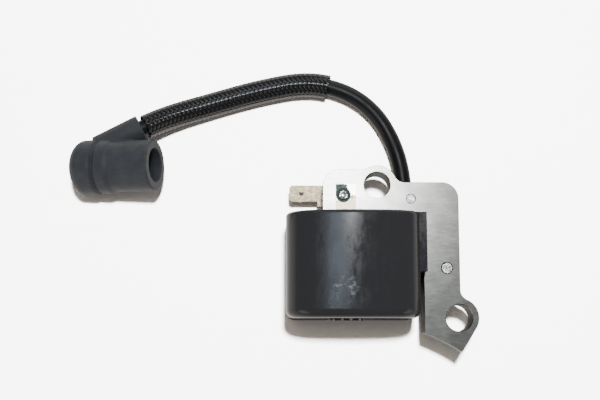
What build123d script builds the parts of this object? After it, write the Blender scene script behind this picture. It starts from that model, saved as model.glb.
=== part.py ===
from build123d import *
import math
import os

# Ignition coil of a small two-stroke engine, in millimetres.
# The core plate lies in the XY plane. The origin is midway between the two fixing holes,
# on the core's rear face, and +Z points out of the core's front face.
# The open, resin-filled back of the case is the face the coil lies on.

# ---- Core ----------------------------------------------------------------------------
SHEET_PITCH = 0.5            # one lamination with its varnish
SHEET_GAP = 0.02             # varnish between two sheets
SHEET_COUNT = 19
SHEET_CHAMFER = 0.12         # rolled edge on the two outer sheets
CORE_T = SHEET_PITCH * SHEET_COUNT
HOLE_X = 11.4                # fixing holes at (-HOLE_X, HOLE_Y) and (HOLE_X, -HOLE_Y)
HOLE_Y = 18.93
HOLE_R = 3.8
LOBE_RIM = 1.9               # metal left around the upper hole
EAR_RIM = 1.8                # metal left around the lower hole
BAR_LEFT = -27.0             # yoke bar that joins the two legs
BAR_HIGH = 23.5              # upper edge, left of the upper hole
BAR_LOW = 19.7               # upper edge, right of the upper hole
BAR_LEFT_R = 5.0
BAR_RIGHT_R = 4.7
LEG_IN = 1.6                 # outer leg, between these two x values
LEG_OUT = 11.85
COIL_LEG_X = -20.4           # middle of the leg that carries the windings
COIL_LEG_W = 10.0
EAR_TIP = (9.9, -31.3)       # the ear runs to a point here, before the pole arc cuts it
EAR_TIP_R = 0.3
WHEEL_X = -18.94             # flywheel axis; both pole faces lie on one circle around it
WHEEL_Y = -76.24
POLE_R = 57.0
INNER_BLEND = 3.0            # concave corners of the punching
RIVET_R = 1.6                # stack rivet in the outer leg
RIVET_XY = (8.14, -4.9)
LOCK_R = 1.35                # stack rivet in the bar, ground flush
LOCK_XY = (-1.8, 14.9)
RIVET_DOME = 0.18
RIVET_SLOPE = 40             # side of the dome, in degrees from upright
RIVET_TAIL = 0.3

# ---- Case ----------------------------------------------------------------------------
CASE_LEFT = -37.5
CASE_RIGHT = 0.2
CASE_TOP = 10.4              # end wall under the yoke bar
CASE_BOTTOM = -19.2          # end wall at the pole
CASE_BACK = -7.5             # open back, the face the coil lies on
CASE_CROWN = CORE_T + 12.3   # top of the curved front
CASE_WALL = 1.5
CROWN_R = 64.0
CORNER_LEFT_R = 10.0
CORNER_RIGHT_R = 8.0
END_ROUND = 2.4              # rounding at the pole end
TOP_ROUND = 1.0              # rounding at the yoke end
FIT = 0.15                   # clearance around what passes through or into a piece
RIB_LOW = -6.2               # rib on the right wall that stands against the outer leg
RIB_HIGH = CORE_T + 5.7      # its top, above the core's rear face
RIB_LAP = 0.35               # how far its upper part laps over the core's front face
RIB_GAP = 0.1
LIP_OUT = 0.5                # lip over the coil leg at the pole end
LIP_W = 9.2
LIP_T = 1.1
NOTCH_W = 0.7
NOTCH_STEP = 2.45
NOTCH_COUNT = 4
RESIN_RECESS = 0.4

# ---- Windings, centred on the coil leg ---------------------------------------------------
COIL_TOP = CASE_TOP - CASE_WALL - 1.3          # leaves room for the wires that cross here
COIL_BOTTOM = CASE_BOTTOM + CASE_WALL + 0.7
TUBE_WALL = 0.8
PRIMARY_BUILD = 1.6          # thickness of the primary winding
TAPE_T = 0.15
PRIMARY_FLANGE_LIP = 0.05    # flange stands this much above the tape
SECTION_COUNT = 6
SECTION_FLANGE_T = 0.7
SECTION_DEPTH = 2.4          # flange height above the secondary bobbin's tube
SECTION_UNFILLED = 0.4
FEED_SECTION = 2             # section whose winding feeds the high-voltage pin, from the yoke end
WINDING_R = 2.0
PRIMARY_WIRE_Z = (4.0, 7.0)  # heights at which the primary's two ends leave
PRIMARY_END_Y = (5.4, 4.0)   # where they end on the board

# ---- Electronics ---------------------------------------------------------------------------
BOARD_GAP = 0.9              # between the windings and the back of the circuit board
BOARD_T = 1.0
BOARD_LOW = -1.0
BOARD_HIGH = 17.0
BOARD_END_GAP = 0.6          # board ends short of the windings' ends by this much
WIRE_R = 0.3
FINE_WIRE_R = 0.25           # wire from the secondary winding to the pin
WIRE_BEND = 0.6
STOP_END_Y = 4.0             # end of the stop wire on the board
STOP_END_Z = 1.6
EARTH_END_Y = 4.0            # end of the earth wire on the board
SWITCH_EDGE = 1.4            # power transistor, from the board's end at the pole
SWITCH_Z = 8.6
SWITCH_SIZE = (3.2, 9.2, 9.0)
HEAT_TAB_T = 1.3             # the transistor's metal tab, between it and the board
HEAT_TAB_RISE = 3.0          # the tab stands this much above the plastic
SWITCH_LEAD_STEP = 2.54
SWITCH_LEAD_T = 0.6
SWITCH_LEAD_W = 0.9
SWITCH_LEAD_END = 0.5        # above the board's lower edge
CHIP_FROM_TOP = 7.8          # places of the other components, from the board's yoke end
CHIP_Z = 13.2
CHIP_LIFT = 0.2
CHIP_SIZE = (1.5, 5.0, 3.9)
CHIP_PIN_STEP = 1.27
CHIP_PIN_SIZE = (0.7, 0.42, 1.0)
CHIP_PINS = 4                # on each side
CAPACITORS_FROM_TOP = (1.4, 3.6)
CAPACITOR_Z = 14.2
CAPACITOR_SIZE = (1.6, 1.6, 3.2)
RESISTOR_COUNT = 4
RESISTORS_FROM_TOP = 4.9     # the first one; the others follow in steps
RESISTOR_STEP = 1.9
RESISTOR_Z = 8.4
RESISTOR_SIZE = (0.6, 1.2, 2.0)
DIODE_FROM_TOP = 8.6
DIODE_Z = 4.6
DIODE_SIZE = (2.2, 4.4, 2.6)

# ---- Terminals -------------------------------------------------------------------------------
STRAP_W = 5.7
STRAP_T = 0.5
STRAP_END = 19.1
STRAP_RIVET_XY = (-21.1, 15.9)
STRAP_RIVET_R = 1.1
STRAP_HEAD_R = 1.4
STRAP_HEAD_T = 0.45
STRAP_HEAD_SLOPE = 25        # side of the head, in degrees from upright
SOLDER_R = 2.1
SOLDER_T = 0.16
TAB_W = 4.8                  # standard 4.8 x 0.8 male blade
TAB_T = 0.8
TAB_TIP = -36.7
TAB_LOW = 15.6
TAB_SHOULDER_X = -28.3
TAB_SHOULDER_DROP = 1.5
TAB_END_X = -23.6
TAB_HOLE_R = 0.7
TAB_HOLE_FROM_TIP = 3.6
TAB_TIP_R = 1.1
TAB_ARM_W = 3.0
PAD_T = 1.2                  # insulating pad between the blade's strip and the core

# ---- Ignition lead, boot and sleeve ----------------------------------------------------------
LEAD_R = 2.5
WIRE_BORE_R = 0.7
STRAND_R = 0.65
LEAD_X = -2.2
GLAND_R = LEAD_R + 1.1
GLAND_GAP = 0.25             # between the gland and the core's rear face
LEAD_Z = -GLAND_R - GLAND_GAP
LEAD_INNER = 2.0             # y where the jacket ends inside the case
GLAND_TIP_R = LEAD_R + 0.5
GLAND_BORE_R = LEAD_R + 0.5
GLAND_OUT = 3.6
PIN_R = 0.6
PIN_PAST_WIRE = 0.5          # the pin ends this far beyond the wire that feeds it
PIN_IN_LEAD = 2.2            # length of the pin inside the lead
PIN_FLANGE_R = 1.6
PIN_FLANGE_T = 0.8
STRAND_TIP = 1.2             # length of the strands beyond the jacket, in the boot
SLEEVE_BORE_R = LEAD_R + 0.65
SLEEVE_WALL = 0.5
BOOT_MOUTH = (-75.6, 25.4, 5.6)
BOOT_TILT = 14.0
BOOT_R = 7.45
BOOT_BORE_R = 4.95
BOOT_BORE_DEPTH = 13.0
POCKET_R = 4.1
POCKET_DEPTH = 7.2
BEAD_R = 7.9
BEAD_AT = 13.6              # the barrel has swollen to the bead here, from the mouth
BEAD_RISE = 1.6
GROOVE_R = 6.95
GROOVE_AT = 17.0
GROOVE_HALF = 0.8
END_R = 8.15                 # swollen end behind the groove
END_CURVE_AT = 21.4          # the closed end curves in from here
BOOT_LENGTH = 26.0
MOUTH_EDGE = 0.3
NECK_R = LEAD_R + 1.75
NECK_END = (-80.5, 37.3, 0.4)
NECK_ROOT = (-93.2, 30.7, 0.6)
SPRING_R = 3.3
SPRING_WIRE_R = 0.4
SPRING_TURNS = 5
SPRING_LENGTH = 5.4

# Route of the lead, from the gland's tip to the boot.
LEAD_ROUTE = [
    (LEAD_X, CASE_TOP + GLAND_OUT, LEAD_Z),
    (-2.5, 23.5, -4.2),
    (-5.2, 33.8, -4.4),
    (-10.6, 43.2, -4.3),
    (-19.2, 49.6, -3.8),
    (-31.0, 52.4, -3.8),
    (-46.0, 49.6, -3.8),
    (-60.5, 45.4, -3.8),
    (-73.7, 41.2, -2.2),
    (-83.5, 35.9, 0.4),
    (-91.9, 31.5, 0.6),
]
SLEEVE_FIRST_RUN = 4         # the sleeve starts on this run of the route, at this share of it
SLEEVE_FIRST_SHARE = 0.5
SLEEVE_LAST_RUN = 8          # and ends on this one
SLEEVE_LAST_SHARE = 0.6

ARC_SHARE = 0.45             # of a run, that the arc at either end of it may take

os.makedirs("parts", exist_ok=True)


def save(piece, name):
    """Label a finished piece and write it as parts/name.step."""
    piece.part.label = name
    export_step(piece.part, f"parts/{name}.step")


def at_y(y):
    """Plane across Y at y: sketch x is X, sketch y is Z, extrusion goes towards -Y."""
    return Plane.XZ.offset(-y)


def corner_radii(points):
    """Largest arc that each corner's two runs allow."""
    radii = []
    for before, here, after in zip(points, points[1:], points[2:]):
        run_in = Vector(*here) - Vector(*before)
        run_out = Vector(*after) - Vector(*here)
        half_turn = math.radians(run_in.get_angle(run_out)) / 2
        radii.append(ARC_SHARE * min(run_in.length, run_out.length) / math.tan(half_turn))
    return radii


# ---- Core laminations --------------------------------------------------------------------------
leg_middle = (LEG_IN + LEG_OUT) / 2
core_low = EAR_TIP[1]
lobe_r = HOLE_R + LOBE_RIM
ear_r = HOLE_R + EAR_RIM
bar_bottom = CASE_TOP + FIT

with BuildSketch() as ear:
    with Locations((HOLE_X, -HOLE_Y)):
        Circle(ear_r)
    with Locations(EAR_TIP):
        Circle(EAR_TIP_R)
    make_hull()

with BuildSketch() as sheet:
    with Locations(((BAR_LEFT + LEG_OUT) / 2, (bar_bottom + BAR_LOW) / 2)):
        Rectangle(LEG_OUT - BAR_LEFT, BAR_LOW - bar_bottom)
    with Locations(((BAR_LEFT - HOLE_X) / 2, (bar_bottom + BAR_HIGH) / 2)):
        Rectangle(-HOLE_X - BAR_LEFT, BAR_HIGH - bar_bottom)
    with Locations((leg_middle, (BAR_LOW + core_low) / 2)):
        Rectangle(LEG_OUT - LEG_IN, BAR_LOW - core_low)
    with Locations((COIL_LEG_X, (bar_bottom + core_low) / 2)):
        Rectangle(COIL_LEG_W, bar_bottom - core_low)
    with Locations((-HOLE_X, HOLE_Y)):
        Circle(lobe_r)
    add(ear.sketch)
    fillet(sheet.vertices().sort_by_distance((BAR_LEFT, BAR_HIGH))[0], BAR_LEFT_R)
    fillet(sheet.vertices().sort_by_distance((LEG_OUT, BAR_LOW))[0], BAR_RIGHT_R)
    lobe_side = math.sqrt(lobe_r**2 - (BAR_LOW - HOLE_Y) ** 2)
    fillet(sheet.vertices().sort_by_distance((lobe_side - HOLE_X, BAR_LOW))[0], INNER_BLEND)
    lobe_top = math.sqrt(lobe_r**2 - (BAR_HIGH - HOLE_Y) ** 2)
    fillet(sheet.vertices().sort_by_distance((-HOLE_X - lobe_top, BAR_HIGH))[0], INNER_BLEND)
    ear_side = math.sqrt(ear_r**2 - (LEG_OUT - HOLE_X) ** 2)
    fillet(sheet.vertices().sort_by_distance((LEG_OUT, ear_side - HOLE_Y))[0], INNER_BLEND)
    with Locations((-HOLE_X, HOLE_Y), (HOLE_X, -HOLE_Y)):
        Circle(HOLE_R, mode=Mode.SUBTRACT)
    with Locations((WHEEL_X, WHEEL_Y)):
        Circle(POLE_R, mode=Mode.SUBTRACT)
    with Locations(RIVET_XY):
        Circle(RIVET_R, mode=Mode.SUBTRACT)
    with Locations(LOCK_XY):
        Circle(LOCK_R, mode=Mode.SUBTRACT)
    with Locations(STRAP_RIVET_XY):
        Circle(STRAP_RIVET_R, mode=Mode.SUBTRACT)

with BuildPart() as core_laminations:
    for i in range(SHEET_COUNT):
        with BuildSketch(Plane.XY.offset(i * SHEET_PITCH)):
            add(sheet.sketch)
        extrude(amount=SHEET_PITCH - SHEET_GAP)
    chamfer(core_laminations.faces().sort_by(Axis.Z)[-1].edges(), SHEET_CHAMFER)
    chamfer(core_laminations.faces().sort_by(Axis.Z)[0].edges(), SHEET_CHAMFER)
save(core_laminations, "core_laminations")
core_front = CORE_T - SHEET_GAP

with BuildPart() as core_rivets:
    with BuildSketch(Plane.XY.offset(-RIVET_TAIL)):
        with Locations(RIVET_XY):
            Circle(RIVET_R)
        with Locations(LOCK_XY):
            Circle(LOCK_R)
    extrude(amount=core_front + RIVET_TAIL)
    with BuildSketch(Plane.XY.offset(core_front)):
        with Locations(RIVET_XY):
            Circle(RIVET_R)
    extrude(amount=RIVET_DOME, taper=RIVET_SLOPE)
save(core_rivets, "core_rivets")


# ---- Case ----------------------------------------------------------------------------------------
def case_profile(y, inset, back):
    """D-shaped outline of the case at y, moved inwards by inset, down to z = back."""
    middle = (CASE_LEFT + CASE_RIGHT) / 2
    half = (CASE_RIGHT - CASE_LEFT) / 2 - inset
    radius = CROWN_R - inset
    crown = CASE_CROWN - inset
    shoulder = crown - radius + math.sqrt(radius**2 - half**2)
    with BuildSketch(at_y(y)) as outline:
        with BuildLine():
            Polyline((middle - half, shoulder), (middle - half, back), (middle + half, back),
                     (middle + half, shoulder))
            ThreePointArc((middle + half, shoulder), (middle, crown), (middle - half, shoulder))
        make_face()
        fillet(outline.vertices().sort_by_distance((middle - half, shoulder))[0],
               CORNER_LEFT_R - inset)
        fillet(outline.vertices().sort_by_distance((middle + half, shoulder))[0],
               CORNER_RIGHT_R - inset)
    return outline


slot_w = COIL_LEG_W + 2 * FIT
slot_h = CORE_T + 2 * FIT
rib_face = LEG_IN - RIB_GAP

# Places along the coil leg, for the case, the windings and the high-voltage pin.
inner_top = CASE_TOP - CASE_WALL
inner_bottom = CASE_BOTTOM + CASE_WALL
coil_length = COIL_TOP - COIL_BOTTOM
section_pitch = (coil_length - SECTION_FLANGE_T) / SECTION_COUNT
section_tops = [COIL_TOP - SECTION_FLANGE_T - i * section_pitch for i in range(SECTION_COUNT)]
section_length = section_pitch - SECTION_FLANGE_T
feed_y = section_tops[FEED_SECTION] - section_length / 2
pin_back = feed_y - PIN_PAST_WIRE
tower_end = pin_back - 2 * FIT


def leg_slot():
    """Rectangle of the tunnel that the coil leg passes through, with its clearance."""
    with Locations((COIL_LEG_X, CORE_T / 2)):
        Rectangle(slot_w, slot_h)


outer = case_profile(CASE_TOP, 0, CASE_BACK)
with BuildPart() as coil_case:
    add(outer.sketch)
    extrude(amount=CASE_TOP - CASE_BOTTOM, dir=(0, -1, 0))
    pole_end = coil_case.faces().sort_by(Axis.Y)[0].edges()
    fillet(pole_end.filter_by(lambda e: e.center().Z > CASE_BACK + FIT), END_ROUND)
    yoke_end = coil_case.faces().sort_by(Axis.Y)[-1].edges()
    fillet(yoke_end.filter_by(lambda e: e.center().Z > CASE_BACK + FIT), TOP_ROUND)
    with BuildSketch(at_y(CASE_TOP)):
        with Locations(((CASE_RIGHT - CASE_WALL + rib_face) / 2, (CASE_BACK + RIB_HIGH) / 2)):
            Rectangle(rib_face - CASE_RIGHT + CASE_WALL, RIB_HIGH - CASE_BACK)
    extrude(amount=CASE_TOP - RIB_LOW)
    lap_low = CORE_T + RIB_GAP
    with BuildSketch(at_y(CASE_TOP)):
        with Locations(((CASE_RIGHT + LEG_IN + RIB_LAP) / 2, (lap_low + RIB_HIGH) / 2)):
            Rectangle(LEG_IN + RIB_LAP - CASE_RIGHT, RIB_HIGH - lap_low)
    extrude(amount=CASE_TOP - RIB_LOW)
    with BuildSketch(at_y(CASE_BOTTOM + END_ROUND)):
        with Locations((COIL_LEG_X, CORE_T + LIP_T / 2)):
            Rectangle(LIP_W, LIP_T)
    extrude(amount=END_ROUND + LIP_OUT)
    add(case_profile(inner_top, CASE_WALL, CASE_BACK - FIT).sketch)
    extrude(amount=inner_top - inner_bottom, dir=(0, -1, 0), mode=Mode.SUBTRACT)
    with BuildSketch(at_y(CASE_TOP + FIT)):
        leg_slot()
    extrude(amount=CASE_TOP - CASE_BOTTOM + LIP_OUT + 2 * FIT, mode=Mode.SUBTRACT)
    with BuildSketch(at_y(CASE_TOP + FIT)):
        with Locations((COIL_LEG_X, CORE_T)):
            Rectangle(STRAP_W + 2 * FIT, 2 * (STRAP_T + FIT))
    extrude(amount=CASE_WALL + 2 * FIT, mode=Mode.SUBTRACT)
    with BuildSketch(at_y(CASE_TOP + FIT)):
        with Locations((TAB_END_X - TAB_ARM_W / 2, -PAD_T - TAB_T / 2)):
            Rectangle(TAB_ARM_W, TAB_T)
    extrude(amount=CASE_WALL + 2 * FIT, mode=Mode.SUBTRACT)
    with BuildSketch(at_y(CASE_TOP + FIT)):
        with Locations((LEAD_X, LEAD_Z)):
            Circle(GLAND_BORE_R)
    extrude(amount=CASE_TOP - tower_end + FIT, mode=Mode.SUBTRACT)
    with BuildSketch(at_y(CASE_BOTTOM)):
        with GridLocations(NOTCH_STEP, 0, NOTCH_COUNT, 1):
            with Locations((COIL_LEG_X, CORE_T + LIP_T)):
                Rectangle(NOTCH_W, 2 * LIP_T)
    extrude(amount=LIP_OUT + FIT, mode=Mode.SUBTRACT)
save(coil_case, "coil_case")


# ---- Windings --------------------------------------------------------------------------------------
def ring(y, length, half_w, half_h, hole_w, hole_h, radius=0.0):
    """Rectangular ring around the coil leg, from y down to y - length."""
    with BuildSketch(at_y(y)) as profile:
        with Locations((COIL_LEG_X, CORE_T / 2)):
            if radius:
                RectangleRounded(2 * half_w, 2 * half_h, radius)
            else:
                Rectangle(2 * half_w, 2 * half_h)
            Rectangle(2 * hole_w, 2 * hole_h, mode=Mode.SUBTRACT)
    extrude(profile.sketch, amount=length)


tube_in_w = slot_w / 2
tube_in_h = slot_h / 2
primary_in_w = tube_in_w + TUBE_WALL
primary_in_h = tube_in_h + TUBE_WALL
primary_out_w = primary_in_w + PRIMARY_BUILD
primary_out_h = primary_in_h + PRIMARY_BUILD
tape_w = primary_out_w + TAPE_T
tape_h = primary_out_h + TAPE_T
primary_flange_w = tape_w + PRIMARY_FLANGE_LIP
primary_flange_h = tape_h + PRIMARY_FLANGE_LIP
primary_exit_x = COIL_LEG_X + primary_out_w - PRIMARY_BUILD / 2

with BuildPart() as primary_bobbin:
    ring(COIL_TOP, coil_length, primary_in_w, primary_in_h, tube_in_w, tube_in_h)
    ring(COIL_TOP, TUBE_WALL, primary_flange_w, primary_flange_h, tube_in_w, tube_in_h)
    ring(COIL_BOTTOM + TUBE_WALL, TUBE_WALL, primary_flange_w, primary_flange_h,
         tube_in_w, tube_in_h)
    with BuildSketch(at_y(COIL_TOP)):
        with Locations(*[(primary_exit_x, z) for z in PRIMARY_WIRE_Z]):
            Circle(WIRE_R)
    extrude(amount=TUBE_WALL, mode=Mode.SUBTRACT)
save(primary_bobbin, "primary_bobbin")

primary_top = COIL_TOP - TUBE_WALL
primary_length = coil_length - 2 * TUBE_WALL
with BuildPart() as primary_winding:
    ring(primary_top, primary_length, primary_out_w, primary_out_h, primary_in_w, primary_in_h)
save(primary_winding, "primary_winding")

with BuildPart() as primary_tape:
    ring(primary_top, primary_length, tape_w, tape_h, primary_out_w, primary_out_h)
save(primary_tape, "primary_tape")

secondary_in_w = primary_flange_w + FIT
secondary_in_h = primary_flange_h + FIT
secondary_tube_w = secondary_in_w + TUBE_WALL
secondary_tube_h = secondary_in_h + TUBE_WALL
secondary_out_w = secondary_tube_w + SECTION_DEPTH
secondary_out_h = secondary_tube_h + SECTION_DEPTH

with BuildPart() as secondary_bobbin:
    ring(COIL_TOP, coil_length, secondary_tube_w, secondary_tube_h, secondary_in_w,
         secondary_in_h)
    for i in range(SECTION_COUNT + 1):
        ring(COIL_TOP - i * section_pitch, SECTION_FLANGE_T, secondary_out_w, secondary_out_h,
             secondary_in_w, secondary_in_h, WINDING_R)
save(secondary_bobbin, "secondary_bobbin")

with BuildPart() as secondary_windings:
    for top in section_tops:
        ring(top, section_length, secondary_out_w - SECTION_UNFILLED,
             secondary_out_h - SECTION_UNFILLED, secondary_tube_w, secondary_tube_h, WINDING_R)
save(secondary_windings, "secondary_windings")

# ---- Circuit board and its components ----------------------------------------------------------------
board_back = COIL_LEG_X + secondary_out_w + BOARD_GAP
board_face = board_back + BOARD_T
board_top = COIL_TOP - BOARD_END_GAP
board_bottom = COIL_BOTTOM + BOARD_END_GAP


def block(x, y, z, dx, dy, dz):
    """Box on the board: x is its face nearest the board, y and z are its middle."""
    with Locations((x + dx / 2, y, z)):
        Box(dx, dy, dz)


with BuildPart() as circuit_board:
    block(board_back, (board_top + board_bottom) / 2, (BOARD_LOW + BOARD_HIGH) / 2, BOARD_T,
          board_top - board_bottom, BOARD_HIGH - BOARD_LOW)
save(circuit_board, "circuit_board")

switch_y = board_bottom + SWITCH_EDGE + SWITCH_SIZE[1] / 2
switch_low = SWITCH_Z - SWITCH_SIZE[2] / 2
switch_back = board_face + HEAT_TAB_T
with BuildPart() as transistor_tab:
    block(board_face, switch_y, SWITCH_Z + HEAT_TAB_RISE / 2, HEAT_TAB_T, SWITCH_SIZE[1],
          SWITCH_SIZE[2] + HEAT_TAB_RISE)
save(transistor_tab, "transistor_tab")

with BuildPart() as power_transistor:
    block(switch_back, switch_y, SWITCH_Z, *SWITCH_SIZE)
save(power_transistor, "power_transistor")

lead_end = BOARD_LOW + SWITCH_LEAD_END
with BuildPart() as transistor_leads:
    for k in (-1, 0, 1):
        y = switch_y + SWITCH_LEAD_STEP * k
        block(switch_back, y, (switch_low + lead_end) / 2, SWITCH_LEAD_T, SWITCH_LEAD_W,
              switch_low - lead_end)
        block(board_face, y, lead_end + SWITCH_LEAD_T / 2, HEAT_TAB_T + SWITCH_LEAD_T,
              SWITCH_LEAD_W, SWITCH_LEAD_T)
save(transistor_leads, "transistor_leads")

chip_y = board_top - CHIP_FROM_TOP
with BuildPart() as control_chip:
    block(board_face + CHIP_LIFT, chip_y, CHIP_Z, *CHIP_SIZE)
save(control_chip, "control_chip")

pin_from_middle = (CHIP_SIZE[2] + CHIP_PIN_SIZE[2]) / 2
with BuildPart() as chip_pins:
    for row in (-1, 1):
        for k in range(CHIP_PINS):
            y = chip_y + (k - (CHIP_PINS - 1) / 2) * CHIP_PIN_STEP
            block(board_face, y, CHIP_Z + row * pin_from_middle, *CHIP_PIN_SIZE)
save(chip_pins, "chip_pins")

with BuildPart() as timing_capacitors:
    for from_top in CAPACITORS_FROM_TOP:
        block(board_face, board_top - from_top, CAPACITOR_Z, *CAPACITOR_SIZE)
save(timing_capacitors, "timing_capacitors")

with BuildPart() as resistors:
    for k in range(RESISTOR_COUNT):
        y = board_top - RESISTORS_FROM_TOP - k * RESISTOR_STEP
        block(board_face, y, RESISTOR_Z, *RESISTOR_SIZE)
save(resistors, "resistors")

with BuildPart() as clamp_diode:
    block(board_face, board_top - DIODE_FROM_TOP, DIODE_Z, *DIODE_SIZE)
save(clamp_diode, "clamp_diode")


# ---- Inner wires -----------------------------------------------------------------------------------
def wire(points, radius=WIRE_R):
    """Round wire along points, with a small bend at each corner."""
    with BuildLine() as path:
        if len(points) > 2:
            FilletPolyline(*points, radius=WIRE_BEND)
        else:
            Line(*points)
    with BuildSketch(Plane(origin=path.line @ 0, z_dir=path.line % 0)) as section:
        Circle(radius)
    sweep(section.sketch, path=path.line)


wire_x = board_face + WIRE_R
wire_y = (COIL_TOP + inner_top) / 2
stop_z = -PAD_T - TAB_T - WIRE_R
earth_z = core_front + STRAP_T + WIRE_R
with BuildPart() as primary_leads:
    for z, end_y in zip(PRIMARY_WIRE_Z, PRIMARY_END_Y):
        wire([(primary_exit_x, primary_top, z), (primary_exit_x, wire_y, z),
              (wire_x, wire_y, z), (wire_x, end_y, z)])
save(primary_leads, "primary_leads")
with BuildPart() as stop_wire:
    wire([(TAB_END_X - TAB_ARM_W / 2, wire_y, stop_z), (wire_x, wire_y, stop_z),
          (wire_x, wire_y, STOP_END_Z), (wire_x, STOP_END_Y, STOP_END_Z)])
save(stop_wire, "stop_wire")
with BuildPart() as earth_wire:
    wire([(COIL_LEG_X, wire_y, earth_z), (wire_x, wire_y, earth_z),
          (wire_x, EARTH_END_Y, earth_z)])
save(earth_wire, "earth_wire")

with BuildPart() as secondary_lead:
    wire([(COIL_LEG_X + secondary_out_w - SECTION_UNFILLED, feed_y, LEAD_Z),
          (LEAD_X - PIN_R, feed_y, LEAD_Z)], FINE_WIRE_R)
save(secondary_lead, "secondary_lead")

with BuildPart() as ht_pin:
    with BuildSketch(at_y(LEAD_INNER + PIN_IN_LEAD)):
        with Locations((LEAD_X, LEAD_Z)):
            Circle(PIN_R)
    extrude(amount=LEAD_INNER + PIN_IN_LEAD - pin_back)
    with BuildSketch(at_y(LEAD_INNER)):
        with Locations((LEAD_X, LEAD_Z)):
            Circle(PIN_FLANGE_R)
    extrude(amount=PIN_FLANGE_T)
save(ht_pin, "ht_pin")

# ---- Terminals -----------------------------------------------------------------------------------
with BuildPart() as ground_strap:
    with BuildSketch(Plane.XY.offset(core_front)):
        with Locations((COIL_LEG_X, (STRAP_END + COIL_TOP + WIRE_R) / 2)):
            Rectangle(STRAP_W, STRAP_END - COIL_TOP - WIRE_R)
        with Locations(STRAP_RIVET_XY):
            Circle(STRAP_RIVET_R, mode=Mode.SUBTRACT)
    extrude(amount=STRAP_T)
save(ground_strap, "ground_strap")
strap_front = core_front + STRAP_T

with BuildPart() as strap_rivet:
    with BuildSketch(Plane.XY.offset(-RIVET_TAIL)):
        with Locations(STRAP_RIVET_XY):
            Circle(STRAP_RIVET_R)
    extrude(amount=strap_front + RIVET_TAIL)
    with BuildSketch(Plane.XY.offset(strap_front)):
        with Locations(STRAP_RIVET_XY):
            Circle(STRAP_HEAD_R)
    extrude(amount=STRAP_HEAD_T, taper=STRAP_HEAD_SLOPE)
save(strap_rivet, "strap_rivet")

with BuildPart() as strap_solder:
    with BuildSketch(Plane.XY.offset(strap_front)):
        with Locations(STRAP_RIVET_XY):
            Circle(SOLDER_R)
            Circle(STRAP_HEAD_R, mode=Mode.SUBTRACT)
    extrude(amount=SOLDER_T)
save(strap_solder, "strap_solder")

tab_high = TAB_LOW + TAB_W
strip_low = TAB_LOW - TAB_SHOULDER_DROP
with BuildPart() as stop_terminal:
    with BuildSketch(Plane.XY.offset(-PAD_T - TAB_T)) as blade:
        with Locations(((TAB_TIP + TAB_END_X) / 2, (TAB_LOW + tab_high) / 2)):
            Rectangle(TAB_END_X - TAB_TIP, TAB_W)
        with Locations(((TAB_SHOULDER_X + TAB_END_X) / 2, (strip_low + tab_high) / 2)):
            Rectangle(TAB_END_X - TAB_SHOULDER_X, tab_high - strip_low)
        with Locations((TAB_END_X - TAB_ARM_W / 2, (COIL_TOP + WIRE_R + strip_low) / 2)):
            Rectangle(TAB_ARM_W, strip_low - COIL_TOP - WIRE_R)
        fillet(blade.vertices().sort_by(Axis.X)[0:2], TAB_TIP_R)
        with Locations((TAB_TIP + TAB_HOLE_FROM_TIP, (TAB_LOW + tab_high) / 2)):
            Circle(TAB_HOLE_R, mode=Mode.SUBTRACT)
    extrude(amount=TAB_T)
save(stop_terminal, "stop_terminal")

pad_left = BAR_LEFT + FIT
pad_right = TAB_END_X + FIT
with BuildPart() as terminal_insulator:
    with BuildSketch(Plane.XY.offset(-PAD_T)):
        with Locations(((pad_left + pad_right) / 2, (bar_bottom + tab_high) / 2)):
            Rectangle(pad_right - pad_left, tab_high - bar_bottom)
    extrude(amount=PAD_T)
save(terminal_insulator, "terminal_insulator")

# ---- Lead gland ----------------------------------------------------------------------------------
with BuildPart() as lead_gland:
    with BuildSketch(at_y(CASE_TOP)):
        with Locations((LEAD_X, LEAD_Z)):
            Circle(GLAND_BORE_R)
    extrude(amount=CASE_WALL)
    with BuildSketch(at_y(CASE_TOP + GLAND_OUT)):
        with Locations((LEAD_X, LEAD_Z)):
            Circle(GLAND_TIP_R)
    with BuildSketch(at_y(CASE_TOP)):
        with Locations((LEAD_X, LEAD_Z)):
            Circle(GLAND_R)
    loft()
    with BuildSketch(at_y(CASE_TOP + GLAND_OUT)):
        with Locations((LEAD_X, LEAD_Z)):
            Circle(LEAD_R)
    extrude(amount=GLAND_OUT + CASE_WALL, mode=Mode.SUBTRACT)
save(lead_gland, "lead_gland")


# ---- Ignition lead and its sleeve -----------------------------------------------------------------
def tube(points, outer, inner=0.0, tail=0.0, tip=0.0, mode=Mode.ADD):
    """Round tube on runs joined by tangent arcs, with a straight tail before and tip after."""
    first = Vector(*points[0])
    last = Vector(*points[-1])
    with BuildLine() as path:
        if tail:
            Line(first - Vector(0, tail, 0), first)
        FilletPolyline(*points, radius=corner_radii(points))
        if tip:
            onward = (last - Vector(*points[-2])).normalized()
            Line(last, last + onward * tip)
    with BuildSketch(Plane(origin=path.line @ 0, z_dir=path.line % 0)) as section:
        Circle(outer)
        if inner:
            Circle(inner, mode=Mode.SUBTRACT)
    sweep(section.sketch, path=path.line, mode=mode)
    return sum(edge.length for edge in path.edges())


def on_run(k, share):
    """Point at a share of the way along the route's run number k."""
    a = Vector(*LEAD_ROUTE[k])
    b = Vector(*LEAD_ROUTE[k + 1])
    return tuple(a + (b - a) * share)


print("lead corner radii", [round(r, 1) for r in corner_radii(LEAD_ROUTE)])
lead_tail = CASE_TOP + GLAND_OUT - LEAD_INNER
with BuildPart() as ht_lead:
    lead_length = tube(LEAD_ROUTE, LEAD_R, WIRE_BORE_R, tail=lead_tail)
save(ht_lead, "ht_lead")
print("free lead", round(lead_length - lead_tail, 1), "mm, volume",
      round(ht_lead.part.volume, 1), "against",
      round(math.pi * (LEAD_R**2 - WIRE_BORE_R**2) * lead_length, 1))

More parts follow.
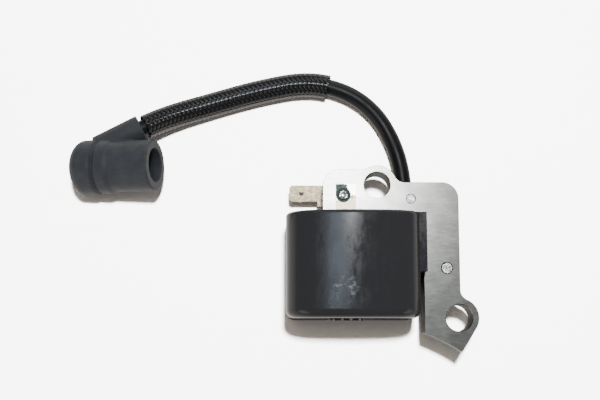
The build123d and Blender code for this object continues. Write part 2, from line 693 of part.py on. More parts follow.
with BuildPart() as ht_lead_conductor:
    tube(LEAD_ROUTE, STRAND_R, tail=lead_tail - PIN_IN_LEAD, tip=STRAND_TIP)
save(ht_lead_conductor, "ht_lead_conductor")

sleeve_route = (
    [on_run(SLEEVE_FIRST_RUN, SLEEVE_FIRST_SHARE)]
    + LEAD_ROUTE[SLEEVE_FIRST_RUN + 1:SLEEVE_LAST_RUN + 1]
    + [on_run(SLEEVE_LAST_RUN, SLEEVE_LAST_SHARE)]
)
with BuildPart() as braided_sleeve:
    tube(sleeve_route, SLEEVE_BORE_R + SLEEVE_WALL, SLEEVE_BORE_R)
save(braided_sleeve, "braided_sleeve")

# ---- Potting resin -----------------------------------------------------------------------------------
with BuildPart() as potting_resin:
    add(case_profile(inner_top, CASE_WALL, CASE_BACK + RESIN_RECESS).sketch)
    extrude(amount=inner_top - inner_bottom, dir=(0, -1, 0))
    with BuildSketch(at_y(inner_top)):
        with Locations((LEAD_X, LEAD_Z)):
            Circle(GLAND_BORE_R)
    extrude(amount=inner_top - tower_end)
    with BuildSketch(at_y(inner_top)):
        leg_slot()
    extrude(amount=inner_top - inner_bottom, mode=Mode.SUBTRACT)
    with BuildSketch(at_y(COIL_TOP)):
        with Locations((COIL_LEG_X, CORE_T / 2)):
            Rectangle(2 * secondary_in_w, 2 * secondary_in_h)
    extrude(amount=coil_length, mode=Mode.SUBTRACT)
    with BuildSketch(at_y(inner_top)):
        with Locations((LEAD_X, LEAD_Z)):
            Circle(LEAD_R)
    extrude(amount=inner_top - LEAD_INNER, mode=Mode.SUBTRACT)
    for potted in (secondary_bobbin, secondary_windings, circuit_board, transistor_tab,
                   power_transistor, transistor_leads, control_chip, chip_pins,
                   timing_capacitors, resistors, clamp_diode, primary_leads, stop_wire,
                   earth_wire, secondary_lead, ht_pin, ground_strap, stop_terminal):
        add(potted.part, mode=Mode.SUBTRACT)
save(potting_resin, "potting_resin")

# ---- Spark plug boot ---------------------------------------------------------------------------------
# Plane through the boot's axis: sketch x runs back from the mouth, sketch y is the radius.
back_dir = Vector(-math.cos(math.radians(BOOT_TILT)), 0, -math.sin(math.radians(BOOT_TILT)))
boot_plane = Plane(origin=BOOT_MOUTH, x_dir=back_dir, z_dir=back_dir.cross(Vector(0, 1, 0)))
boot_axis = Axis(BOOT_MOUTH, back_dir)

with BuildPart() as plug_boot:
    with BuildSketch(boot_plane) as half_section:
        with BuildLine():
            Polyline((BOOT_LENGTH, 0), (0, 0), (0, BOOT_R - MOUTH_EDGE), (MOUTH_EDGE, BOOT_R),
                     (BEAD_AT - BEAD_RISE, BOOT_R))
            Spline((BEAD_AT - BEAD_RISE, BOOT_R), (BEAD_AT, BEAD_R), tangents=((1, 0), (1, 0)))
            Polyline((BEAD_AT, BEAD_R), (GROOVE_AT - GROOVE_HALF, BEAD_R), (GROOVE_AT, GROOVE_R),
                     (GROOVE_AT + GROOVE_HALF, END_R), (END_CURVE_AT, END_R))
            EllipticalCenterArc((END_CURVE_AT, 0), BOOT_LENGTH - END_CURVE_AT, END_R,
                                arc_size=90)
        make_face()
    revolve(axis=boot_axis)
    neck_dir = Vector(*NECK_END) - Vector(*NECK_ROOT)
    with BuildSketch(Plane(origin=NECK_ROOT, z_dir=neck_dir)):
        Circle(NECK_R)
    extrude(amount=neck_dir.length)
    with BuildSketch(Plane(origin=BOOT_MOUTH, z_dir=back_dir)):
        Circle(BOOT_BORE_R)
    extrude(amount=BOOT_BORE_DEPTH, mode=Mode.SUBTRACT)
    with BuildSketch(Plane(origin=BOOT_MOUTH, z_dir=back_dir)):
        Circle(POCKET_R)
    extrude(amount=BOOT_BORE_DEPTH + POCKET_DEPTH, mode=Mode.SUBTRACT)
    tube(LEAD_ROUTE[-3:], LEAD_R, tip=POCKET_R / 2, mode=Mode.SUBTRACT)
save(plug_boot, "plug_boot")

with BuildPart() as plug_contact_spring:
    spring_start = Vector(*BOOT_MOUTH) + back_dir * (BOOT_BORE_DEPTH + 2 * SPRING_WIRE_R)
    with BuildLine() as coil:
        Helix(SPRING_LENGTH / SPRING_TURNS, SPRING_LENGTH, SPRING_R, center=spring_start,
              direction=back_dir)
    with BuildSketch(Plane(origin=coil.line @ 0, z_dir=coil.line % 0)):
        Circle(SPRING_WIRE_R)
    sweep(path=coil.line, is_frenet=True)
save(plug_contact_spring, "plug_contact_spring")
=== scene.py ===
import math

import bpy
import numpy as np
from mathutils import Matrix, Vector


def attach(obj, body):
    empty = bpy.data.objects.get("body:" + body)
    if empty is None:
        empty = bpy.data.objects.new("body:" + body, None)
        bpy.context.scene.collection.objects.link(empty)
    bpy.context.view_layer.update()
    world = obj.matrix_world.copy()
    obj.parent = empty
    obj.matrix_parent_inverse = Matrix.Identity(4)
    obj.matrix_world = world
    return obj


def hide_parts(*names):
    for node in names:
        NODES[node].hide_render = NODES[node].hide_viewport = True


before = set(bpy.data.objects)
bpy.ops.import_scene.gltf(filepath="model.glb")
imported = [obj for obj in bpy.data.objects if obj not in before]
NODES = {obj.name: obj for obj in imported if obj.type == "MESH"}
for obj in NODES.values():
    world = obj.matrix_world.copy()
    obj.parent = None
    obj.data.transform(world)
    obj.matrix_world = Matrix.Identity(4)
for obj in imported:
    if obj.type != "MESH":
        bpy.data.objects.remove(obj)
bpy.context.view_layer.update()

MM = 0.001
SCENE = bpy.context.scene

# ---- Places that the CAD model and this file share, in millimetres ---------------------------
TABLE_Z = -7.5
SHEET_PITCH = 0.5
STRAP_RIVET = (-21.1, 15.9)
LEG_RIVET = (8.14, -4.9)
LEG_RIVET_R = 1.6
BAR_RIVET = (-1.8, 14.9)
BAR_RIVET_R = 1.35
LEAD_D = 5.0
STRAND_D = 1.3
SLEEVE_R = 3.65
SLEEVE_WALL = 0.5
LEAD_ROUTE = [
    (-2.2, 14.0, -3.85),
    (-2.5, 23.5, -4.2),
    (-5.2, 33.8, -4.4),
    (-10.6, 43.2, -4.3),
    (-19.2, 49.6, -3.8),
    (-31.0, 52.4, -3.8),
    (-46.0, 49.6, -3.8),
    (-60.5, 45.4, -3.8),
    (-73.7, 41.2, -2.2),
    (-83.5, 35.9, 0.4),
    (-91.9, 31.5, 0.6),
]
SLEEVE_ENDS = ((4, 0.5), (8, 0.6))   # runs of the route, and shares of them


def metres(point):
    return Vector(point) * MM


# ---- Camera ----------------------------------------------------------------------------------
CAMERA_AT = (-33.5, -26.5, 298.5)
CAMERA_TILT = math.radians(8.08)
CAMERA_LENS = 61.26          # focal length and sensor width, mm
CAMERA_SENSOR = 36
CAMERA_CLIP = (0.01, 10)     # metres

camera_data = bpy.data.cameras.new("camera")
camera_data.lens = CAMERA_LENS
camera_data.sensor_width = CAMERA_SENSOR
camera_data.clip_start, camera_data.clip_end = CAMERA_CLIP
camera = bpy.data.objects.new("camera", camera_data)
camera.location = metres(CAMERA_AT)
camera.rotation_euler = (CAMERA_TILT, 0, 0)
SCENE.collection.objects.link(camera)
SCENE.camera = camera


# ---- Node helpers ----------------------------------------------------------------------------
class Shader:
    """A material's node tree, with short calls for the nodes used here."""

    def __init__(self, name, color, roughness, metallic=0.0, **constants):
        self.material = bpy.data.materials.new(name)
        self.material.use_nodes = True
        self.tree = self.material.node_tree
        self.surface = self.tree.nodes["Principled BSDF"]
        self.set("Base Color", (*color, 1.0))
        self.set("Roughness", roughness)
        self.set("Metallic", metallic)
        for socket, value in constants.items():
            self.set(socket.replace("_", " "), value)
        self.coordinates = self.tree.nodes.new("ShaderNodeTexCoord").outputs["Object"]

    def set(self, socket, value):
        self.surface.inputs[socket].default_value = value

    def link(self, output, socket):
        self.tree.links.new(output, self.surface.inputs[socket])

    def node(self, kind, inputs=(), **settings):
        made = self.tree.nodes.new(kind)
        for key, value in settings.items():
            setattr(made, key, value)
        for key, value in dict(inputs).items():
            if isinstance(value, bpy.types.NodeSocket):
                self.tree.links.new(value, made.inputs[key])
            else:
                made.inputs[key].default_value = value
        return made

    def stretched(self, scale):
        """Object coordinates in millimetres, scaled by the three numbers of scale."""
        mapping = self.node("ShaderNodeMapping", {"Vector": self.coordinates})
        mapping.inputs["Scale"].default_value = [s / MM for s in scale]
        return mapping.outputs["Vector"]

    def noise(self, scale, detail=3.0, roughness=0.55):
        """Noise from 0 to 1; scale is features per millimetre along X, Y and Z."""
        made = self.node("ShaderNodeTexNoise", {"Vector": self.stretched(scale), "Scale": 1.0,
                                                "Detail": detail, "Roughness": roughness})
        return made.outputs["Fac"]

    def away_from(self, x, y):
        """Distance in the XY plane from a point given in millimetres, in metres."""
        flat = self.node("ShaderNodeVectorMath", {0: self.coordinates, 1: (1, 1, 0)},
                         operation="MULTIPLY")
        away = self.node("ShaderNodeVectorMath", {0: flat.outputs[0], 1: (x * MM, y * MM, 0)},
                         operation="DISTANCE")
        return away.outputs["Value"]

    def axes(self, vector):
        """The X, Y and Z outputs of a vector."""
        return self.node("ShaderNodeSeparateXYZ", {0: vector}).outputs

    def math(self, operation, a, b=0.0, clamp=False):
        return self.node("ShaderNodeMath", {0: a, 1: b}, operation=operation,
                         use_clamp=clamp).outputs[0]

    def remap(self, value, low, high, to_low, to_high):
        made = self.node("ShaderNodeMapRange", {"Value": value, "From Min": low, "From Max": high,
                                                "To Min": to_low, "To Max": to_high})
        return made.outputs["Result"]

    def mix(self, factor, a, b):
        made = self.node("ShaderNodeMix", data_type="RGBA")
        for key, value in ((0, factor), (6, a), (7, b)):
            if isinstance(value, bpy.types.NodeSocket):
                self.tree.links.new(value, made.inputs[key])
            elif key == 0:
                made.inputs[key].default_value = value
            else:
                made.inputs[key].default_value = (*value, 1.0)
        return made.outputs[2]

    def bump(self, height, distance, strength=1.0):
        """Bump whose full height is distance, in millimetres."""
        made = self.node("ShaderNodeBump", {"Height": height, "Distance": distance * MM,
                                            "Strength": strength})
        self.link(made.outputs["Normal"], "Normal")


def moulded(name, color, roughness, grain=0.01, spread=0.06, lighter=1.25, **constants):
    """Moulded plastic or rubber: fine grain, and slow changes of colour and gloss."""
    s = Shader(name, color, roughness, **constants)
    slow = s.noise((0.25, 0.25, 0.25))
    fine = s.noise((5, 5, 5), detail=2)
    s.link(s.mix(slow, color, [c * lighter for c in color]), "Base Color")
    s.link(s.remap(slow, 0.3, 0.7, roughness - spread, roughness + spread), "Roughness")
    s.bump(fine, grain)
    return s.material


def metal(name, color, roughness, grain=(1.5, 1.5, 1.5), depth=0.004, **constants):
    """Bare or plated metal with fine marks in its surface."""
    s = Shader(name, color, roughness, metallic=1.0, **constants)
    marks = s.noise(grain, detail=4)
    s.link(s.mix(marks, [c * 0.85 for c in color], color), "Base Color")
    s.link(s.remap(marks, 0.3, 0.7, roughness - 0.07, roughness + 0.07), "Roughness")
    s.bump(marks, depth)
    return s.material


# ---- Materials -------------------------------------------------------------------------------
SHEET_MIDDLE = 0.48          # share of a sheet's pitch


def core_steel():
    """Punched silicon steel: brushed faces, and cut edges that show every sheet."""
    s = Shader("core_steel", (0.22, 0.225, 0.22), 0.22, metallic=1.0)
    brushed = s.noise((0.5, 3.5, 3.0), detail=4, roughness=0.6)
    cloudy = s.noise((0.22, 0.22, 0.22), detail=2)
    specks = s.noise((2.2, 2.2, 2.2), detail=1)
    pale = s.mix(s.remap(cloudy, 0.35, 0.65, 0, 1), (0.128, 0.133, 0.124), (0.178, 0.182, 0.170))
    face = s.mix(s.remap(brushed, 0.3, 0.7, 0.0, 0.20), pale, (0.23, 0.235, 0.225))
    face = s.mix(s.remap(specks, 0.70, 0.76, 0.0, 0.6), face, (0.06, 0.058, 0.05))
    normal = s.axes(s.node("ShaderNodeNewGeometry").outputs["Normal"])
    on_edge = s.remap(s.math("ABSOLUTE", normal["Z"]), 0.5, 0.8, 1.0, 0.0)
    height = s.axes(s.coordinates)["Z"]
    in_sheet = s.math("FRACT", s.math("DIVIDE", height, SHEET_PITCH * MM))
    from_middle = s.math("ABSOLUTE", s.math("SUBTRACT", in_sheet, SHEET_MIDDLE))
    seam = s.remap(from_middle, 0.36, 0.47, 0.0, 1.0)
    sheared = s.noise((6.0, 6.0, 0.8), detail=3)
    edge = s.mix(sheared, (0.09, 0.088, 0.083), (0.17, 0.166, 0.158))
    edge = s.mix(seam, edge, (0.035, 0.032, 0.030))
    s.link(s.mix(on_edge, face, edge), "Base Color")
    rough_face = s.remap(brushed, 0.3, 0.7, 0.20, 0.24)
    rough = s.node("ShaderNodeMix", {0: on_edge, 2: rough_face, 3: 0.55})
    s.link(rough.outputs[0], "Roughness")
    grain = s.math("MULTIPLY", brushed, 0.05)
    s.bump(s.math("ADD", grain, s.math("MULTIPLY", sheared, on_edge)), 0.012)
    return s.material


# Middle of a patch of dried residue on the crown, painted pale bluish as highlight.
RESIDUE_AND_HIGHLIGHT_AT = (-21.0, -11.0)
RESIDUE_AND_HIGHLIGHT_R = (1.5, 4.5)       # where the patch of residue and painted highlight starts to fade, and where it ends


def case_plastic():
    """Black moulded case: satin, with handling marks, dust tinted blue as painted sheen, and a
    patch of dried residue painted pale bluish as highlight.
    """
    color = (0.026, 0.026, 0.028)
    s = Shader("case_plastic", color, 0.22, IOR=1.2)
    smears = s.noise((0.55, 0.16, 0.5), detail=6, roughness=0.75)
    dust = s.noise((1.6, 1.3, 1.6), detail=5, roughness=0.75)
    fine = s.noise((7, 7, 7), detail=2)
    # Dust patches, lighter and bluish: real dust, with its blue a painted sheen. The dust also
    # dulls the gloss.
    dust_and_sheen = s.remap(dust, 0.55, 0.80, 0.0, 0.6)
    # Patch of dried residue on the crown, painted pale bluish as highlight: it fades out from its
    # middle, in blotches.
    near = s.remap(s.away_from(*RESIDUE_AND_HIGHLIGHT_AT), *[r * MM for r in RESIDUE_AND_HIGHLIGHT_R], 1.0, 0.0)
    residue_and_highlight_blotches = s.remap(s.noise((0.5, 0.7, 0.5), detail=3, roughness=0.6), 0.53, 0.66, 0.0, 0.75)
    residue = s.math("MULTIPLY", near, residue_and_highlight_blotches)
    dust_and_sheen_color = s.mix(dust_and_sheen, color, (0.035, 0.038, 0.045))
    s.link(s.mix(residue, dust_and_sheen_color, (0.20, 0.22, 0.26)), "Base Color")
    gloss = s.remap(smears, 0.38, 0.62, 0.07, 0.24)
    s.link(s.math("ADD", gloss, s.math("MULTIPLY", dust_and_sheen, 0.2)), "Roughness")
    s.bump(s.math("ADD", s.math("MULTIPLY", fine, 0.5), smears), 0.012)
    return s.material


HEAT_LINE_BELOW = 1.15       # from the strap's rivet, mm
HEAT_LINE_SLOPE = 0.27
FLUX_OFFSET = (-1.0, 1.3)    # middle of the flux patch from the rivet, mm
FLUX_R = (2.1, 2.5)          # where the patch starts to fade, and where it ends


def strap_metal():
    """Tinned strip: bright tin with a patch of flux, a brown heat line, and dull tin below it."""
    rivet_x, rivet_y = STRAP_RIVET
    s = Shader("strap_metal", (0.22, 0.19, 0.14), 0.32, metallic=1.0)
    marks = s.noise((1.0, 1.0, 1.0), detail=4)
    place = s.axes(s.coordinates)
    sideways = s.math("SUBTRACT", place["X"], rivet_x * MM)
    upwards = s.math("SUBTRACT", place["Y"], (rivet_y - HEAT_LINE_BELOW) * MM)
    above = s.math("SUBTRACT", upwards, s.math("MULTIPLY", sideways, HEAT_LINE_SLOPE))
    above = s.math("ADD", s.math("DIVIDE", above, MM), s.remap(marks, 0.3, 0.7, -0.45, 0.45))
    ramp = s.node("ShaderNodeValToRGB", {0: s.remap(above, -2.0, 2.0, 0.0, 1.0)})
    stops = [(0.40, (0.24, 0.205, 0.15)), (0.455, (0.07, 0.03, 0.008)), (0.50, (0.12, 0.06, 0.02)),
             (0.54, (0.45, 0.42, 0.36)), (0.66, (0.70, 0.70, 0.67))]
    elements = ramp.color_ramp.elements
    for element, (at, color) in zip(elements, stops[:2]):
        element.position = at
        element.color = (*color, 1)
    for at, color in stops[2:]:
        elements.new(at).color = (*color, 1)
    away = s.away_from(rivet_x + FLUX_OFFSET[0], rivet_y + FLUX_OFFSET[1])
    flux = s.math("ADD", s.math("DIVIDE", away, MM), s.remap(marks, 0.3, 0.7, -0.7, 0.7))
    flux = s.remap(flux, *FLUX_R, 1.0, 0.0)
    spots = s.remap(s.noise((2.4, 2.4, 2.4), detail=2), 0.4, 0.6, 0.0, 1.0)
    residue = s.mix(spots, (0.03, 0.036, 0.034), (0.13, 0.15, 0.14))
    s.link(s.mix(flux, ramp.outputs["Color"], residue), "Base Color")
    s.link(s.remap(flux, 0.0, 1.0, 0.30, 0.50), "Roughness")
    s.bump(s.math("ADD", marks, s.math("MULTIPLY", spots, flux)), 0.03)
    return s.material


def joint_head():
    """Rivet head with speckled solder over it."""
    s = Shader("joint_head", (0.30, 0.31, 0.30), 0.36, metallic=1.0)
    spots = s.remap(s.noise((2.0, 2.0, 2.0), detail=3, roughness=0.7), 0.42, 0.58, 0.0, 1.0)
    s.link(s.mix(spots, (0.05, 0.055, 0.05), (0.55, 0.56, 0.54)), "Base Color")
    s.link(s.remap(spots, 0.0, 1.0, 0.5, 0.3), "Roughness")
    s.bump(spots, 0.06)
    return s.material


SEAM_INSETS = (0.22, 0.10)   # the seam darkens between these, in from a rivet's edge, mm


def rivet_steel():
    """Rivet ends with a dark seam at their edge and coarse marks from the press."""
    s = Shader("rivet_steel", (0.40, 0.41, 0.42), 0.24, metallic=1.0)
    marks = s.noise((1.3, 1.3, 1.3), detail=4, roughness=0.7)
    scratches = s.noise((0.9, 5.0, 1.0), detail=3)
    seam = 0.0
    for middle, radius in ((LEG_RIVET, LEG_RIVET_R), (BAR_RIVET, BAR_RIVET_R)):
        away = s.away_from(*middle)
        ring = s.remap(away, *[(radius - inset) * MM for inset in SEAM_INSETS], 0.0, 1.0)
        inside = s.math("LESS_THAN", away, 1.5 * radius * MM)
        seam = s.math("ADD", seam, s.math("MULTIPLY", ring, inside), clamp=True)
    seam = s.math("MULTIPLY", seam, s.remap(marks, 0.35, 0.6, 0.3, 1.0))
    face = s.mix(s.remap(marks, 0.4, 0.6, 0.0, 1.0), (0.13, 0.135, 0.135), (0.36, 0.37, 0.37))
    s.link(s.mix(seam, face, (0.03, 0.03, 0.028)), "Base Color")
    s.link(s.remap(scratches, 0.3, 0.7, 0.16, 0.34), "Roughness")
    s.bump(s.math("ADD", marks, scratches), 0.05)
    return s.material


def boot_rubber():
    """Dark grey moulded rubber with a faint bloom."""
    color = (0.030, 0.033, 0.037)
    s = Shader("boot_rubber", color, 0.62, IOR=1.28)
    bloom = s.noise((0.35, 0.35, 0.35), detail=5)
    fine = s.noise((6, 6, 6), detail=3)
    s.link(s.mix(s.remap(bloom, 0.35, 0.75, 0.0, 1.0), color, (0.041, 0.045, 0.050)),
           "Base Color")
    s.link(s.remap(fine, 0.3, 0.7, 0.55, 0.70), "Roughness")
    s.bump(s.math("ADD", s.math("MULTIPLY", fine, 0.4), bloom), 0.03)
    return s.material


MATERIALS = {
    "core_steel": core_steel(),
    "case_plastic": case_plastic(),
    "strap_metal": strap_metal(),
    "boot_rubber": boot_rubber(),
    "rivet_steel": rivet_steel(),
    "joint_head": joint_head(),
    "solder": metal("solder", (0.035, 0.048, 0.042), 0.48, (2.2, 2.2, 2.2), 0.10),
    "blade_metal": metal("blade_metal", (0.15, 0.122, 0.080), 0.34, (1.0, 2.5, 2.0), 0.012),
    "tinned_metal": metal("tinned_metal", (0.70, 0.70, 0.68), 0.35),
    "spring_wire": metal("spring_wire", (0.60, 0.61, 0.62), 0.30, (4, 4, 4)),
    "copper": metal("copper", (0.72, 0.38, 0.22), 0.35, (8, 1, 8), 0.02),
    "resin": moulded("resin", (0.012, 0.011, 0.010), 0.16, 0.05, 0.05, Coat_Weight=0.2),
    "bobbin_plastic": moulded("bobbin_plastic", (0.66, 0.62, 0.52), 0.5),
    "tape": moulded("tape", (0.70, 0.52, 0.16), 0.3),
    "board": moulded("board", (0.035, 0.16, 0.07), 0.4),
    "chip_plastic": moulded("chip_plastic", (0.025, 0.025, 0.026), 0.55, 0.02),
    "ceramic": moulded("ceramic", (0.45, 0.33, 0.20), 0.5),
    "insulation": moulded("insulation", (0.03, 0.03, 0.03), 0.45),
    "fibre": moulded("fibre", (0.05, 0.045, 0.04), 0.6, 0.03),
    "gland_rubber": moulded("gland_rubber", (0.012, 0.0122, 0.013), 0.55, 0.02, IOR=1.3),
    "lead_jacket": moulded("lead_jacket", (0.006, 0.0061, 0.0065), 0.36, 0.015, 0.08,
                           IOR=1.24),
    "varnish": moulded("varnish", (0.004, 0.0043, 0.005), 0.45, 0.03, IOR=1.25),
    "braid": moulded("braid", (0.006, 0.0063, 0.007), 0.22, 0.0, 0.03, IOR=1.38),
}
NODE_MATERIALS = {
    "core_laminations": "core_steel",
    "core_rivets": "rivet_steel",
    "coil_case": "case_plastic",
    "potting_resin": "resin",
    "primary_bobbin": "bobbin_plastic",
    "primary_winding": "copper",
    "primary_tape": "tape",
    "secondary_bobbin": "bobbin_plastic",
    "secondary_windings": "copper",
    "circuit_board": "board",
    "power_transistor": "chip_plastic",
    "transistor_tab": "tinned_metal",
    "transistor_leads": "tinned_metal",
    "control_chip": "chip_plastic",
    "chip_pins": "tinned_metal",
    "timing_capacitors": "ceramic",
    "resistors": "chip_plastic",
    "clamp_diode": "chip_plastic",
    "primary_leads": "copper",
    "secondary_lead": "copper",
    "stop_wire": "insulation",
    "earth_wire": "insulation",
    "ht_pin": "tinned_metal",
    "ground_strap": "strap_metal",
    "strap_rivet": "joint_head",
    "strap_solder": "solder",
    "stop_terminal": "blade_metal",
    "terminal_insulator": "fibre",
    "lead_gland": "gland_rubber",
    "plug_contact_spring": "spring_wire",
}
for node, material in NODE_MATERIALS.items():
    slots = NODES[node].data.materials
    slots.clear()
    slots.append(MATERIALS[material])


# ---- Lead ------------------------------------------------------------------------------------
CURVE_STEPS = 16             # on each segment of the curve
CURVE_ROUNDNESS = 10         # bevel resolution of the round section
LINE_SAMPLES = 4000          # places tried along the lead to find the nearest


def route_curve(name, diameter):
    """NURBS curve along the lead's route; diameter 0 gives the bare line."""
    curve = bpy.data.curves.new(name, "CURVE")
    curve.dimensions = "3D"
    curve.resolution_u = CURVE_STEPS
    spline = curve.splines.new("NURBS")
    spline.points.add(len(LEAD_ROUTE) - 1)
    for control, point in zip(spline.points, LEAD_ROUTE):
        control.co = (*metres(point), 1.0)
    spline.order_u = 3
    spline.use_endpoint_u = True
    curve.bevel_depth = diameter / 2 * MM
    curve.bevel_resolution = CURVE_ROUNDNESS
    curve.use_fill_caps = True
    made = bpy.data.objects.new(name, curve)
    SCENE.collection.objects.link(made)
    return made


def show(piece, material, slot, *replaced):
    """Give a new piece its material and its body, and hide the nodes that it stands for; slot is
    not used.
    """
    piece.data.materials.clear()
    piece.data.materials.append(MATERIALS[material])
    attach(piece, "root")
    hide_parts(*replaced)


lead = route_curve("lead_jacket", LEAD_D)
show(lead, "lead_jacket", "lead_jacket", "ht_lead")
strand = route_curve("lead_strand", STRAND_D)
show(strand, "copper", "copper", "ht_lead_conductor")


def centre_line():
    """Points of the lead's own line, close together, with their distances along it."""
    bare = route_curve("bare_line", 0)
    bare.data.use_fill_caps = False
    bpy.context.view_layer.update()
    evaluated = bare.evaluated_get(bpy.context.evaluated_depsgraph_get())
    mesh = bpy.data.meshes.new_from_object(evaluated)
    points = np.array([v.co for v in mesh.vertices])
    bpy.data.objects.remove(bare)
    bpy.data.meshes.remove(mesh)
    steps = np.linalg.norm(np.diff(points, axis=0), axis=1)
    return points, np.concatenate([[0.0], np.cumsum(steps)])


LINE, ALONG = centre_line()


def nearest_along(point):
    """Distance along the lead of its place nearest to point."""
    fine = np.linspace(0, ALONG[-1], LINE_SAMPLES)
    places = np.column_stack([np.interp(fine, ALONG, LINE[:, k]) for k in range(3)])
    return fine[np.argmin(np.linalg.norm(places - np.array(point), axis=1))]


def frames_along(start, end, count):
    """Centres, tangents and two unit normals at count places from start to end."""
    at = np.linspace(start, end, count)
    centres = np.column_stack([np.interp(at, ALONG, LINE[:, k]) for k in range(3)])
    tangents = np.gradient(centres, axis=0)
    tangents /= np.linalg.norm(tangents, axis=1)[:, None]
    up = np.array([0.0, 0.0, 1.0])
    across = np.cross(tangents, up)
    across /= np.linalg.norm(across, axis=1)[:, None]
    over = np.cross(across, tangents)
    return centres, tangents, across, over


def on_run(k, share):
    """Point at a share of the way along the route's run number k."""
    return metres(LEAD_ROUTE[k]).lerp(metres(LEAD_ROUTE[k + 1]), share)


SLEEVE_START, SLEEVE_END = [nearest_along(on_run(k, share)) for k, share in SLEEVE_ENDS]


def mesh_piece(name, vertices, faces, smooth=True):
    """New object from points in metres and their faces."""
    mesh = bpy.data.meshes.new(name)
    mesh.from_pydata([tuple(v) for v in vertices], [], faces)
    mesh.polygons.foreach_set("use_smooth", [smooth] * len(mesh.polygons))
    mesh.update()
    made = bpy.data.objects.new(name, mesh)
    SCENE.collection.objects.link(made)
    return made


# ---- Braided sleeve --------------------------------------------------------------------------
BRAID_STRANDS = 16           # in each direction
BRAID_LIFT = 0.22            # how far a strand rises and falls over the others, mm
BRAID_STEPS = 2.5            # points on a strand, from one crossing to the next
BRAID_HALF_T = 0.09          # half a strand's thickness, mm
BRAID_HALF_SHARE = 0.44      # half a strand's width over the distance between strands
BRAID_FLAT_SHARE = 0.6       # flat top over the whole width of a strand
BRAID_ANGLE = math.radians(45)
LINER_SIDES = 48
LINER_RINGS = 160


def sleeve_liner():
    """Thin varnished tube under the braid, open at both ends with a wall."""
    sides = LINER_SIDES
    rings = LINER_RINGS
    outer = SLEEVE_R - 2 * BRAID_HALF_T - BRAID_LIFT
    inner = SLEEVE_R - SLEEVE_WALL
    centres, _, across, over = frames_along(SLEEVE_START, SLEEVE_END, rings)
    vertices = []
    for radius in (outer, inner):
        for c, a, o in zip(centres, across, over):
            for k in range(sides):
                t = 2 * math.pi * k / sides
                vertices.append(c + (a * math.cos(t) + o * math.sin(t)) * radius * MM)
    faces = []
    shell = rings * sides
    for r in range(rings - 1):
        for k in range(sides):
            n = (k + 1) % sides
            quad = [r * sides + k, r * sides + n, (r + 1) * sides + n, (r + 1) * sides + k]
            faces.append(quad[::-1])
            faces.append([v + shell for v in quad])
    for r, flip in ((0, False), (rings - 1, True)):
        for k in range(sides):
            n = (k + 1) % sides
            quad = [r * sides + k, r * sides + n, shell + r * sides + n, shell + r * sides + k]
            faces.append(quad[::-1] if flip else quad)
    return mesh_piece("sleeve_liner", vertices, faces)


def sleeve_braid():
    """Flat strands wound both ways round the liner, each over two and under two."""
    length = SLEEVE_END - SLEEVE_START
    radius = SLEEVE_R - BRAID_HALF_T - BRAID_LIFT / 2
    lead_per_turn = 2 * math.pi * radius * MM / math.tan(BRAID_ANGLE)
    crossing = lead_per_turn / (2 * BRAID_STRANDS)
    steps = int(length / crossing * BRAID_STEPS) + 1
    centres, tangents, across, over = frames_along(SLEEVE_START, SLEEVE_END, steps)
    apart = 2 * math.pi * radius / BRAID_STRANDS * math.cos(BRAID_ANGLE)
    half_w = BRAID_HALF_SHARE * apart
    flat_w = BRAID_FLAT_SHARE * half_w
    section = [(-half_w, 0), (-flat_w, BRAID_HALF_T), (flat_w, BRAID_HALF_T),
               (half_w, 0), (0, -BRAID_HALF_T)]
    sides = len(section)
    vertices = []
    faces = []
    for way in (-1, 1):
        for k in range(BRAID_STRANDS):
            base = len(vertices)
            for i in range(steps):
                distance = length * i / (steps - 1)
                turn = way * distance / lead_per_turn * 2 * math.pi
                angle = turn + 2 * math.pi * k / BRAID_STRANDS
                phase = math.pi * distance / crossing / 2 + math.pi * k + way * math.pi / 4
                lift = BRAID_LIFT / 2 * math.sin(phase)
                outward = across[i] * math.cos(angle) + over[i] * math.sin(angle)
                around = over[i] * math.cos(angle) - across[i] * math.sin(angle)
                heading = (tangents[i] * math.cos(BRAID_ANGLE)
                           + around * way * math.sin(BRAID_ANGLE))
                sideways = np.cross(heading, outward)
                middle = centres[i] + outward * (radius + lift) * MM
                for w, t in section:
                    vertices.append(middle + (sideways * w + outward * t) * MM)
            for i in range(steps - 1):
                for c in range(sides):
                    n = (c + 1) % sides
                    a = base + sides * i
                    faces.append([a + c, a + n, a + sides + n, a + sides + c])
            faces.append([base + c for c in reversed(range(sides))])
            faces.append([base + sides * (steps - 1) + c for c in range(sides)])
    return mesh_piece("sleeve_braid", vertices, faces, smooth=False)


liner = sleeve_liner()
show(liner, "varnish", "braid", "braided_sleeve")
braid = sleeve_braid()
show(braid, "braid", "braid", "braided_sleeve")


# ---- Boot ------------------------------------------------------------------------------------
BOOT_VOXEL = 0.21            # mm
BOOT_ROUNDS = 2
SMOOTHING = 0.5


def softened(node, name, voxel, rounds):
    """Copy of a CAD node as one even mesh with its edges and corners rounded off."""
    source = bpy.data.objects.new("source", NODES[node].data.copy())
    SCENE.collection.objects.link(source)
    remesh = source.modifiers.new("remesh", "REMESH")
    remesh.mode = "VOXEL"
    remesh.voxel_size = voxel * MM
    smooth = source.modifiers.new("smooth", "SMOOTH")
    smooth.factor = SMOOTHING
    smooth.iterations = rounds
    bpy.context.view_layer.update()
    evaluated = source.evaluated_get(bpy.context.evaluated_depsgraph_get())
    mesh = bpy.data.meshes.new_from_object(evaluated)
    mesh.name = name
    bpy.data.objects.remove(source)
    mesh.polygons.foreach_set("use_smooth", [True] * len(mesh.polygons))
    made = bpy.data.objects.new(name, mesh)
    SCENE.collection.objects.link(made)
    return made


boot = softened("plug_boot", "boot_shell", BOOT_VOXEL, BOOT_ROUNDS)
show(boot, "boot_rubber", "rubber", "plug_boot")


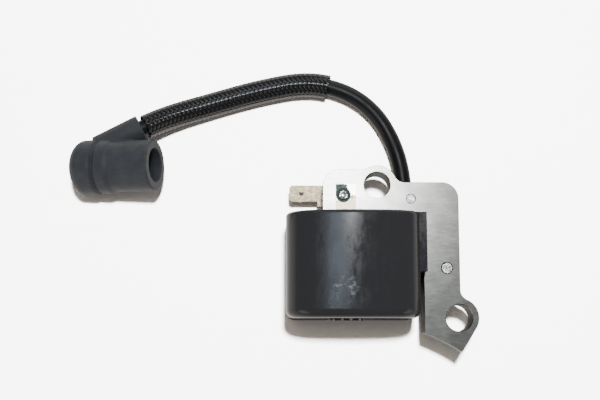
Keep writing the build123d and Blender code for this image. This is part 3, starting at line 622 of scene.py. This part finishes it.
# ---- Floor and light -------------------------------------------------------------------------
KEY_AT = (0, 115, 590)
KEY_SIZE = (45, 45)
KEY_AIM = (-30, 10, 0)
SOFT_AT = (-80, 62, 600)
SOFT_SIZE = (130, 130)
SOFT_AIM = (-80, 62, 0)
FILL_SIZE = (400, 240)
FILL_AIM = (-30, 0, 5)
WHITE = (1.0, 1.0, 1.0)
SKY = (0.84, 0.93, 1.0)
SKY_DEEP = (0.70, 0.84, 1.0)
WARM = (1.0, 0.84, 0.68)
WORLD_COLOR = (1.0, 0.91, 0.83)
WORLD_STRENGTH = 0.27
FLOOR_SIZE = 4               # metres
ALL, PAPER, OBJECT = "all", "paper", "object"

# Name, place, size, watts, colour, aim, and what the light falls on.
LIGHTS = [
    ("key", KEY_AT, KEY_SIZE, 1.6, WHITE, KEY_AIM, ALL),
    ("soft_box", SOFT_AT, SOFT_SIZE, 0.85, SKY_DEEP, SOFT_AIM, OBJECT),
    ("paper_soft", SOFT_AT, SOFT_SIZE, 0.62, WARM, SOFT_AIM, PAPER),
    ("paper_key", KEY_AT, KEY_SIZE, 29.0, WHITE, KEY_AIM, PAPER),
    ("window", (-70, 420, 520), (320, 180), 1.0, SKY, (-50, 40, 0), OBJECT),
    ("fill_left", (-480, -330, 190), FILL_SIZE, 1.3, WHITE, FILL_AIM, OBJECT),
    ("fill_right", (420, -260, 170), FILL_SIZE, 1.1, WHITE, FILL_AIM, OBJECT),
    ("fill_back", (160, 480, 190), FILL_SIZE, 1.1, WHITE, FILL_AIM, OBJECT),
]


def floor():
    """White paper that the camera sees bright, and that reflects less light onto the object."""
    bpy.ops.mesh.primitive_plane_add(size=FLOOR_SIZE, location=(0, 0, TABLE_Z * MM))
    plane = bpy.context.object
    plane.name = "floor"
    s = Shader("floor_paper", (0.93, 0.93, 0.93), 0.9, Specular_IOR_Level=0.0)
    sheet = s.mix(s.noise((0.02, 0.02, 0.02)), (0.92, 0.92, 0.92), (0.94, 0.94, 0.94))
    seen = s.node("ShaderNodeLightPath").outputs["Is Camera Ray"]
    s.link(s.mix(seen, (0.25, 0.24, 0.23), sheet), "Base Color")
    plane.data.materials.append(s.material)
    return plane


def area_light(name, at, size, energy, color, aim):
    data = bpy.data.lights.new(name, "AREA")
    data.shape = "RECTANGLE"
    data.size, data.size_y = [v * MM for v in size]
    data.energy = energy
    data.color = color
    light = bpy.data.objects.new(name, data)
    light.location = metres(at)
    light.rotation_euler = (metres(at) - metres(aim)).to_track_quat("Z", "Y").to_euler()
    SCENE.collection.objects.link(light)
    return light


def receivers(name, paper):
    """Collection for light linking that holds only the floor."""
    made = bpy.data.collections.new(name)
    made.objects.link(paper)
    return made


# The paper has its own lights, and doesn't see the ones that only shape the object.
paper = floor()
falls_on = {PAPER: receivers("paper_only", paper), OBJECT: receivers("no_paper", paper)}
falls_on[OBJECT].collection_objects[0].light_linking.link_state = "EXCLUDE"
for *settings, target in LIGHTS:
    light = area_light(*settings)
    if target != ALL:
        light.light_linking.receiver_collection = falls_on[target]

world = bpy.data.worlds.new("world")
world.use_nodes = True
background = world.node_tree.nodes["Background"].inputs
background["Color"].default_value = (*WORLD_COLOR, 1)
background["Strength"].default_value = WORLD_STRENGTH
SCENE.world = world
